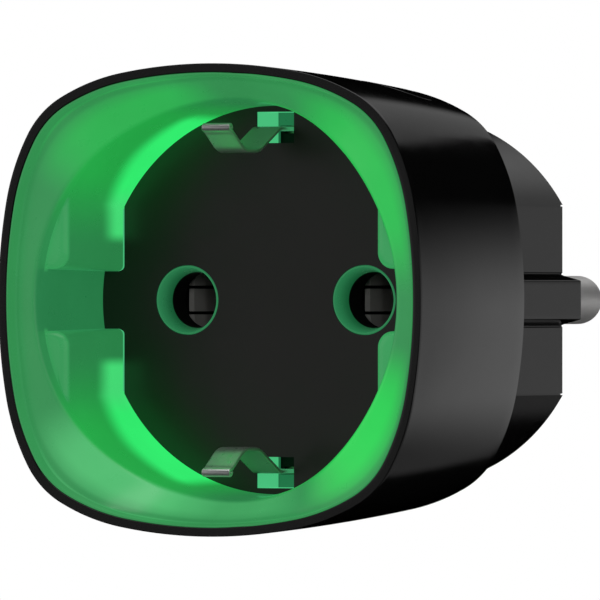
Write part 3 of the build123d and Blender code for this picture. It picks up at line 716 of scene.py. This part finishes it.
make_camera()
house(make_casing(), "casing_gloss_black", "outer_casing")
house(make_button(), "button_black", "power_button", body="button")
house(make_liner(), "guide_translucent", "light_guide")
house(make_floor(), "floor_black", "socket_floor")
house(make_cover(), "cover_black", "rear_cover")
for x, side in ((-PIN_X, "neutral"), (PIN_X, "line")):
    house(make_funnel(x, f"pin_funnel_{side}"), "guide_translucent")
    house(make_pin(x, f"pin_shank_{side}"), "pin_nickel", f"plug_pin_{side}")
for sign, side in ((1, "top"), (-1, "bottom")):
    house(make_sleeve(sign, f"clip_sleeve_{side}"), "guide_translucent")
    house(make_duct_wall(sign, f"duct_wall_{side}"), "guide_translucent")
    house(make_screw_seat(sign, f"screw_seat_{side}"), "cover_black")
    strip = make_clip(sign, f"clip_strip_{side}")
    house(strip, "clip_steel", f"earth_clip_{side}", body=f"clip_{side}")


# ---------------------------------------------------------------- materials

class Surface:
    """Small builder for a procedural material in row-frame coordinates."""

    def __init__(self, name):
        self.material = bpy.data.materials.new(name)
        self.material.use_nodes = True
        self.tree = self.material.node_tree
        self.shader = self.tree.nodes["Principled BSDF"]
        self.where = self.tree.nodes.new("ShaderNodeTexCoord").outputs["Object"]

    def node(self, kind, inputs=(), **settings):
        """New node; each input takes a plain value or another node's output."""
        made = self.tree.nodes.new(kind)
        for key, value in settings.items():
            setattr(made, key, value)
        for socket, value in dict(inputs).items():
            if isinstance(value, bpy.types.NodeSocket):
                self.tree.links.new(value, made.inputs[socket])
            else:
                made.inputs[socket].default_value = value
        return made

    def noise(self, scale, detail=4, stretch=(1, 1, 1)):
        """Noise in row-frame metres, so a scale of 1000 has grains of about a millimetre."""
        moved = self.node("ShaderNodeMapping", {"Vector": self.where, "Scale": stretch})
        inputs = {"Vector": moved.outputs[0], "Scale": scale, "Detail": detail}
        return self.node("ShaderNodeTexNoise", inputs).outputs[0]

    def between(self, value, low, high, start=0.3, end=0.7):
        """Value carried over from start..end, where noise mostly lies, to low..high."""
        made = self.node("ShaderNodeMapRange", {0: value, 1: start, 2: end, 3: low, 4: high})
        return made.outputs[0]

    def math(self, operation, a, b=0.0):
        return self.node("ShaderNodeMath", {0: a, 1: b}, operation=operation).outputs[0]

    def mix(self, share, dark, light):
        """Colour that goes from the first to the second as the share goes from 0 to 1."""
        made = self.node("ShaderNodeMix", data_type="RGBA")
        for socket, value in ((made.inputs[0], share), (made.inputs[6], dark), (made.inputs[7], light)):
            if isinstance(value, bpy.types.NodeSocket):
                self.tree.links.new(value, socket)
            else:
                socket.default_value = (*value, 1) if isinstance(value, tuple) else value
        return made.outputs[2]

    def ramp(self, value, empty, full):
        """Smooth share that grows from 0 at one value to 1 at another."""
        inputs = {0: value, 1: empty, 2: full, 3: 0.0, 4: 1.0}
        return self.node("ShaderNodeMapRange", inputs, interpolation_type="SMOOTHSTEP").outputs[0]

    def both(self, first, second):
        return self.math("MULTIPLY", first, second)

    def total(self, *parts):
        value = parts[0]
        for part in parts[1:]:
            value = self.math("ADD", value, part)
        return value

    def bump(self, height, distance, strength=1.0):
        made = self.node("ShaderNodeBump", {"Height": height, "Distance": distance, "Strength": strength})
        self.link(made.outputs[0], "Normal")

    def link(self, value, socket):
        self.tree.links.new(value, self.shader.inputs[socket])

    def fix(self, **values):
        for key, value in values.items():
            self.shader.inputs[key.replace("_", " ")].default_value = value


def plastic(name, dark, light, rough, grain=6000, depth=0.004, smear=0.05, specular=0.5):
    """Moulded plastic: slight colour drift, fine moulding grain and uneven gloss."""
    s = Surface(name)
    s.link(s.mix(s.between(s.noise(160, 5), 0, 1), dark, light), "Base Color")
    s.link(s.between(s.noise(420, 6), rough - smear, rough + smear), "Roughness")
    s.bump(s.noise(grain, 3), depth * MM)
    s.fix(Specular_IOR_Level=specular)
    return s.material


def metal(name, dark, light, rough, stretch=(1, 1, 1), metallic=1.0):
    """Plated or rolled metal: fine drawn lines along one way, patchy polish."""
    s = Surface(name)
    lines = s.noise(2500, 4, stretch)
    s.link(s.mix(s.between(s.noise(300, 5), 0, 1), dark, light), "Base Color")
    s.link(s.between(lines, rough - 0.05, rough + 0.06), "Roughness")
    s.bump(lines, 0.00015 * MM)
    s.fix(Metallic=metallic)
    return s.material


def screen(red, green, blue):
    """Scene-linear colour of an 8-bit screen colour."""
    return tuple(((c / 255 + 0.055) / 1.055)**2.4 for c in (red, green, blue))


class LitLiner(Surface):
    """Translucent liner with lamps behind it, drawn as painted glow: the glow follows painted lamp lobes,
    the wall and the dish, with painted shade and a painted highlight in it.
    """

    DISH_FOOT = 19.2
    CORNER_BULGE = 0.0592

    def __init__(self, name):
        super().__init__(name)
        x, y, z = self.node("ShaderNodeSeparateXYZ", {0: self.where}).outputs
        x, self.z = (self.math("MULTIPLY", value, 1 / MM) for value in (x, z))
        self.depth = self.math("MULTIPLY", self.math("SUBTRACT", y, cad_low.y), 1 / MM)
        self.side, self.height = self.math("ABSOLUTE", x), self.math("ABSOLUTE", self.z)
        self.angle = self.math("DEGREES", self.math("ARCTAN2", self.height, self.side))
        flat = self.node("ShaderNodeCombineXYZ", {0: x, 2: self.z}).outputs[0]
        self.reach = self.vector("LENGTH", flat)["Value"]
        self.heading = self.vector("NORMALIZE", flat)[0]

    def vector(self, operation, a, b=(0, 0, 0)):
        return self.node("ShaderNodeVectorMath", {0: a, 1: b}, operation=operation).outputs

    def lamp(self, turn, level, spread):
        """Painted glow of one lamp by its turn about the axis; both angles are in degrees."""
        aim = (cos(radians(turn)), 0, sin(radians(turn)))
        near = self.vector("DOT_PRODUCT", self.heading, aim)["Value"]
        return self.math("MULTIPLY", self.ramp(near, cos(radians(spread)), cos(radians(2))), level)

    def inward(self):
        """Share of the way in from the liner's lip, whose corners bulge, to the foot of the dish."""
        twice = self.math("RADIANS", self.math("MULTIPLY", self.angle, 2))
        corner = self.math("POWER", self.math("SINE", twice), 2)
        bulge = self.both(corner, self.math("ADD", corner, 1))
        lip = self.math("ADD", self.math("MULTIPLY", bulge, LIP_HALF * self.CORNER_BULGE), LIP_HALF)
        width = self.math("SUBTRACT", lip, self.DISH_FOOT)
        return self.math("DIVIDE", self.math("SUBTRACT", lip, self.reach), width)

    def wall(self):
        """Recess wall in painted glow: darker in the notches as painted shade, and a painted neon strip
        along its foot near the lamps.
        """
        middle = self.both(self.ramp(self.angle, 16, 43), self.ramp(self.angle, 88, 64))
        glow = self.mix(middle, screen(40, 127, 70), screen(33, 167, 68))
        # painted shade: a darker green in the notches of the wall
        notch = self.both(self.ramp(self.height, 3.1, 2.9), self.ramp(self.reach, 16.9, 17.3))
        glow = self.mix(notch, glow, screen(37, 120, 69))
        # painted glow: a bright neon strip along the wall's foot
        below = self.math("MULTIPLY", self.ramp(self.z, 2, -6), 1.3)
        sideways = self.math("MULTIPLY", self.ramp(self.angle, 50, 25), 2.0)
        start = self.math("SUBTRACT", self.math("ADD", sideways, 9.3), below)
        past = self.math("SUBTRACT", self.depth, start)
        foot = self.both(self.ramp(past, -1.6, 2.2), self.ramp(self.height, 5.3, 6.6))
        neon = self.mix(self.ramp(self.angle, 37, 27), screen(50, 242, 112), screen(70, 224, 120))
        return self.mix(self.both(foot, self.ramp(self.angle, 73, 65)), glow, neon)

    def dish(self, inward):
        """Dished front in painted glow: green lobes over three lamps, and a paler lobe at the lower left
        that is a painted highlight.
        """
        lamps = self.total(self.lamp(36, 0.7, 36), self.lamp(121, 0.5, 30), self.lamp(321, 1.0, 28))
        # painted highlight: the paler lobes on the lower side of the dish
        pale = self.total(self.lamp(239, 0.95, 30), self.lamp(276, 0.4, 20))
        fill = self.math("ADD", self.math("MULTIPLY", self.ramp(inward, 0.05, 0.5), 0.6), 0.4)
        dish = self.mix(self.both(lamps, fill), screen(50, 138, 77), screen(36, 210, 80))
        return self.mix(self.both(pale, fill), dish, screen(86, 192, 116))

    def openings(self):
        """Inside of the pin funnels, and further out of the clip ducts, in painted glow: a funnel is
        lighter at its rim as a painted highlight and darker deeper in as painted shade, and a duct darkens
        at its back as painted shade.
        """
        # painted highlight at the funnel's rim, fading to painted shade deeper in
        funnel = self.mix(self.ramp(self.depth, 14.4, 16.6), screen(40, 118, 74), screen(18, 80, 46))
        # painted shade at the back of each duct
        end = self.ramp(self.depth, SLEEVE_BACK - 0.55, SLEEVE_BACK - 0.45)
        duct = self.mix(end, screen(74, 192, 126), screen(30, 104, 66))
        return self.mix(self.ramp(self.reach, 13, 14), funnel, duct)

    def glow(self):
        inward = self.inward()
        glow = self.mix(self.ramp(self.reach, 19.1, 19.5), self.wall(), self.dish(inward))
        # painted light: the front faces of the guide pads get a lighter green of their own
        front = self.both(self.ramp(self.depth, 2.5, 2.6), self.ramp(self.depth, 3.4, 3.0))
        pad = self.both(self.ramp(self.side, 16.2, 16.5), self.ramp(self.height, 2.6, 3.0))
        pad_front = self.both(self.both(front, pad), self.ramp(self.angle, 34, 31))
        glow = self.mix(pad_front, glow, screen(52, 150, 84))
        # painted shade: a darker band just inside the lip, where the dish begins
        lip_band_shade = self.both(self.ramp(inward, -0.03, 0.03), self.ramp(inward, 0.2, 0.07))
        glow = self.mix(self.math("MULTIPLY", lip_band_shade, 0.6), glow, screen(42, 129, 69))
        glow = self.mix(self.ramp(self.depth, 1.25, 1.05), glow, screen(46, 136, 73))
        inner = self.both(self.ramp(self.depth, 14.3, 14.45), self.ramp(self.reach, 18.65, 18.6))
        return self.mix(inner, glow, self.openings())


def lit_plastic(name):
    """Cloudy green plastic that gives off the liner's painted glow, with its painted shade and highlights.
    """
    s = LitLiner(name)
    cloud = s.between(s.noise(140, 3), 0.86, 0.94)
    s.link(s.mix(cloud, (0.0, 0.0, 0.0), s.glow()), "Emission Color")
    drift = s.between(s.noise(200, 4), 0, 1)
    s.link(s.mix(drift, (0.012, 0.060, 0.026), (0.015, 0.070, 0.031)), "Base Color")
    s.link(s.between(s.noise(500, 5), 0.26, 0.34), "Roughness")
    s.bump(s.noise(5200, 2), 0.0006 * MM)
    s.fix(Emission_Strength=1.0)
    return s.material


def board(name, mask, pad):
    """Circuit board: solder mask over faint tracks."""
    s = Surface(name)
    inputs = {"Vector": s.where, "Scale": 220.0, "Mortar Size": 0.12}
    inputs |= {"Color1": (0, 0, 0, 1), "Color2": (0.1, 0.1, 0.1, 1), "Mortar": (1, 1, 1, 1)}
    tracks = s.node("ShaderNodeTexBrick", inputs).outputs["Color"]
    s.link(s.mix(s.between(tracks, 0, 0.5, 0, 1), mask, pad), "Base Color")
    s.link(s.between(s.noise(900, 3), 0.3, 0.45), "Roughness")
    s.bump(tracks, 0.02 * MM, 0.5)
    return s.material


def winding(name):
    """Fine enamelled wire, seen as ridges along the coil; the colour is lighter on the ridges and darker
    in the grooves as painted light and shade.
    """
    s = Surface(name)
    inputs = {"Vector": s.where, "Scale": 800.0, "Distortion": 0.3}
    # painted shade: the wire's colour darkens in the grooves between turns, with the same pattern as the
    # bump
    ridges_and_groove_shade = s.node("ShaderNodeTexWave", inputs, bands_direction="Y").outputs["Fac"]
    s.link(s.mix(s.between(ridges_and_groove_shade, 0, 1, 0, 1), (0.30, 0.10, 0.035), (0.66, 0.30, 0.14)), "Base Color")
    s.link(s.between(s.noise(600), 0.25, 0.4), "Roughness")
    s.bump(ridges_and_groove_shade, 0.05 * MM)
    s.fix(Metallic=0.8)
    return s.material


def glowing(name, colour):
    """Lens of a lit LED."""
    s = Surface(name)
    s.link(s.mix(s.between(s.noise(900), 0, 1), tuple(0.7 * c for c in colour), colour), "Emission Color")
    s.link(s.between(s.noise(400), 0.3, 0.5), "Roughness")
    s.fix(Emission_Strength=3.0)
    return s.material


def gloss(name, dark, light, rough):
    """Polished black moulding with hardly any grain."""
    return plastic(name, (dark,) * 3, (light,) * 3, rough, 9000, 0.0003, 0.02)


def floor_satin():
    """Warm satin black, glossier than its grain suggests."""
    dark, light = (0.0054, 0.0040, 0.0034), (0.0064, 0.0050, 0.0043)
    return plastic("floor_satin", dark, light, 0.32, 7000, 0.0008, 0.04, specular=0.7)


finishes = {
    "casing_gloss_black": gloss("gloss_black", 0.0022, 0.0030, 0.10),
    "button_black": gloss("button_gloss", 0.0022, 0.0030, 0.12),
    "guide_translucent": lit_plastic("liner_green"),
    "floor_black": floor_satin(),
    "carrier_black": plastic("carrier_moulding", (0.0025,) * 3, (0.0040,) * 3, 0.5, specular=0.2),
    "cover_black": gloss("cover_gloss", 0.0024, 0.0032, 0.13),
    "pin_nickel": metal("pin_nickel", (0.72, 0.71, 0.70), (0.78, 0.77, 0.76), 0.46, (1, 0.05, 1), 0.8),
    "clip_steel": metal("clip_plating", (0.48, 0.49, 0.48), (0.54, 0.55, 0.54), 0.32, (1, 0.08, 1), 0.85),
    "earth_nickel": metal("side_plating", (0.50, 0.49, 0.47), (0.58, 0.57, 0.55), 0.30, (1, 0.05, 1)),
    "contact_brass": metal("contact_tin", (0.42, 0.41, 0.39), (0.48, 0.47, 0.45), 0.48, (1, 0.1, 1), 0.65),
    "earth_brass": metal("strap_brass", (0.40, 0.35, 0.25), (0.50, 0.45, 0.33), 0.32, (1, 1, 0.05)),
    "rivet_steel": metal("rivet_plain", (0.38, 0.38, 0.39), (0.48, 0.48, 0.49), 0.36),
    "screw_steel": metal("screw_zinc", (0.30, 0.30, 0.31), (0.42, 0.42, 0.44), 0.34),
    "board_white": board("light_board_mask", (0.70, 0.70, 0.66), (0.50, 0.50, 0.46)),
    "board_green": board("main_board_mask", (0.010, 0.085, 0.035), (0.018, 0.13, 0.055)),
    "radio_blue": board("radio_board_mask", (0.012, 0.035, 0.12), (0.02, 0.06, 0.18)),
    "header_gold": metal("gold_flash", (0.66, 0.48, 0.16), (0.78, 0.60, 0.24), 0.25),
    "arm_copper": metal("spring_copper", (0.58, 0.28, 0.14), (0.70, 0.38, 0.22), 0.30, (1, 0.08, 1)),
    "yoke_steel": metal("yoke_iron", (0.32, 0.32, 0.33), (0.44, 0.44, 0.45), 0.38),
    "shield_tin": metal("shield_tin", (0.52, 0.52, 0.50), (0.64, 0.64, 0.61), 0.34, (0.1, 1, 1)),
    "shunt_metal": metal("shunt_manganin", (0.42, 0.32, 0.24), (0.54, 0.43, 0.34), 0.36),
    "winding_copper": winding("coil_wire"),
    "led_lit": glowing("led_lens", (0.12, 1.0, 0.30)),
    "plunger_black": plastic("plunger_moulding", (0.01,) * 3, (0.016,) * 3, 0.45),
    "switch_black": plastic("switch_moulding", (0.014,) * 3, (0.022,) * 3, 0.5),
    "relay_black": plastic("relay_moulding", (0.010, 0.011, 0.015), (0.018, 0.019, 0.026), 0.38),
    "bobbin_white": plastic("bobbin_moulding", (0.58, 0.56, 0.50), (0.68, 0.66, 0.60), 0.45),
    "capacitor_sleeve": plastic("can_sleeve", (0.014, 0.014, 0.035), (0.022, 0.022, 0.05), 0.25, 3000),
    "ferrite": plastic("ferrite_core", (0.028, 0.026, 0.026), (0.045, 0.042, 0.042), 0.6, 3500, 0.02),
    "varistor_blue": plastic("varistor_dip", (0.015, 0.07, 0.30), (0.025, 0.11, 0.40), 0.28, 1500, 0.02),
    "resistor_green": plastic("resistor_coat", (0.10, 0.20, 0.11), (0.15, 0.27, 0.16), 0.55, 2500, 0.02),
    "chip_black": plastic("chip_moulding", (0.010,) * 3, (0.016,) * 3, 0.55, 5000, 0.006),
}


def dress():
    """Give every CAD node and every new piece the finish of its slot."""
    slots = {entry["node"]: entry["material_slot"] for entry in frame["record"]["subparts"]}
    for name, node in nodes.items():
        node.data.materials.clear()
        node.data.materials.append(finishes[slots[name]])
    for piece in list(bpy.data.objects):
        if piece.type == "MESH" and "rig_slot" in piece:
            piece.data.materials.clear()
            piece.data.materials.append(finishes[piece["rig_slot"]])


dress()


# ---------------------------------------------------------------- studio

def make_ground():
    """Pale round floor below the plug. It gives other views a ground, and the gloss doesn't mirror it."""
    bm = bmesh.new()
    bmesh.ops.create_circle(bm, cap_ends=True, segments=96, radius=0.8)
    ground = new_object("ground", bm)
    ground.location.z = cad_low.z - 0.03
    ground.visible_glossy = False
    material = bpy.data.materials.new("pale_ground")
    material.use_nodes = True
    shader = material.node_tree.nodes["Principled BSDF"]
    shader.inputs["Base Color"].default_value = (0.93, 0.93, 0.93, 1)
    shader.inputs["Roughness"].default_value = 0.9
    ground.data.materials.append(material)


class Studio(Surface):
    """Soft boxes round the plug, painted on the world by heading and height in degrees."""

    def __init__(self):
        world = bpy.data.worlds.new("studio")
        scene.world = world
        world.use_nodes = True
        self.tree = world.node_tree
        self.shader = self.tree.nodes["Background"]
        self.shader.inputs["Color"].default_value = (1, 1, 1, 1)
        self.where = self.tree.nodes.new("ShaderNodeTexCoord").outputs["Generated"]
        x, y, z = self.node("ShaderNodeSeparateXYZ", {0: self.where}).outputs
        self.heading = self.math("DEGREES", self.math("ARCTAN2", x, y))
        self.height = self.math("DEGREES", self.math("ARCSINE", z))

    def box(self, level, left, right, bottom, top):
        """Light card; each side is a pair of angles where it starts and where it is full."""
        share = self.both(self.ramp(self.heading, *left), self.ramp(self.heading, *right))
        tall = self.both(self.ramp(self.height, *bottom), self.ramp(self.height, *top))
        return self.math("MULTIPLY", self.both(share, tall), level)


def make_light():
    """White backdrop for the camera, and soft boxes for the surfaces."""
    studio = Studio()
    high_box, low_box, side_box = 0.24, 0.27, 0.5
    boxes = [
        studio.box(high_box, (-19, -11), (1.5, 0), (14.5, 16.5), (50, 40)),
        studio.box(high_box, (0, 1.5), (17, 13), (17.8, 19.3), (50, 40)),
        studio.box(0.2, (-12, -6), (13, 10), (23.3, 24.2), (50, 40)),
        studio.box(low_box, (2, 8), (60, 50), (-19, -7), (9, -1.5)),
        studio.box(0.11, (2, 8), (60, 50), (-33, -29), (9, -1.5)),
        studio.box(0.17, (2, 8), (21.5, 18.5), (-19, -7), (9, -1.5)),
        studio.box(side_box, (75, 90), (150, 130), (-10, 0), (45, 35)),
        studio.box(side_box, (-150, -130), (-55, -75), (-10, 0), (45, 35)),
        studio.box(0.22, (-190, -175), (-120, -135), (-30, -20), (30, 20)),
        studio.box(1.5, (-190, -185), (190, 185), (45, 60), (100, 95)),
    ]
    backdrop = studio.node("ShaderNodeLightPath").outputs["Is Camera Ray"]
    studio.link(studio.math("MAXIMUM", studio.total(*boxes), backdrop), "Strength")


def make_fill():
    """Soft front light that only matt surfaces take up."""
    data = bpy.data.lights.new("front_fill", "AREA")
    data.size = 0.4
    data.energy = 4.5
    fill = bpy.data.objects.new("front_fill", data)
    bpy.context.collection.objects.link(fill)
    fill.location = (0.45, cad_low.y - 1.05, 0.25)
    fill.rotation_euler = (-fill.location).to_track_quat("-Z", "Y").to_euler()
    fill.visible_glossy = False
    fill.visible_camera = False


make_ground()
make_light()
make_fill()
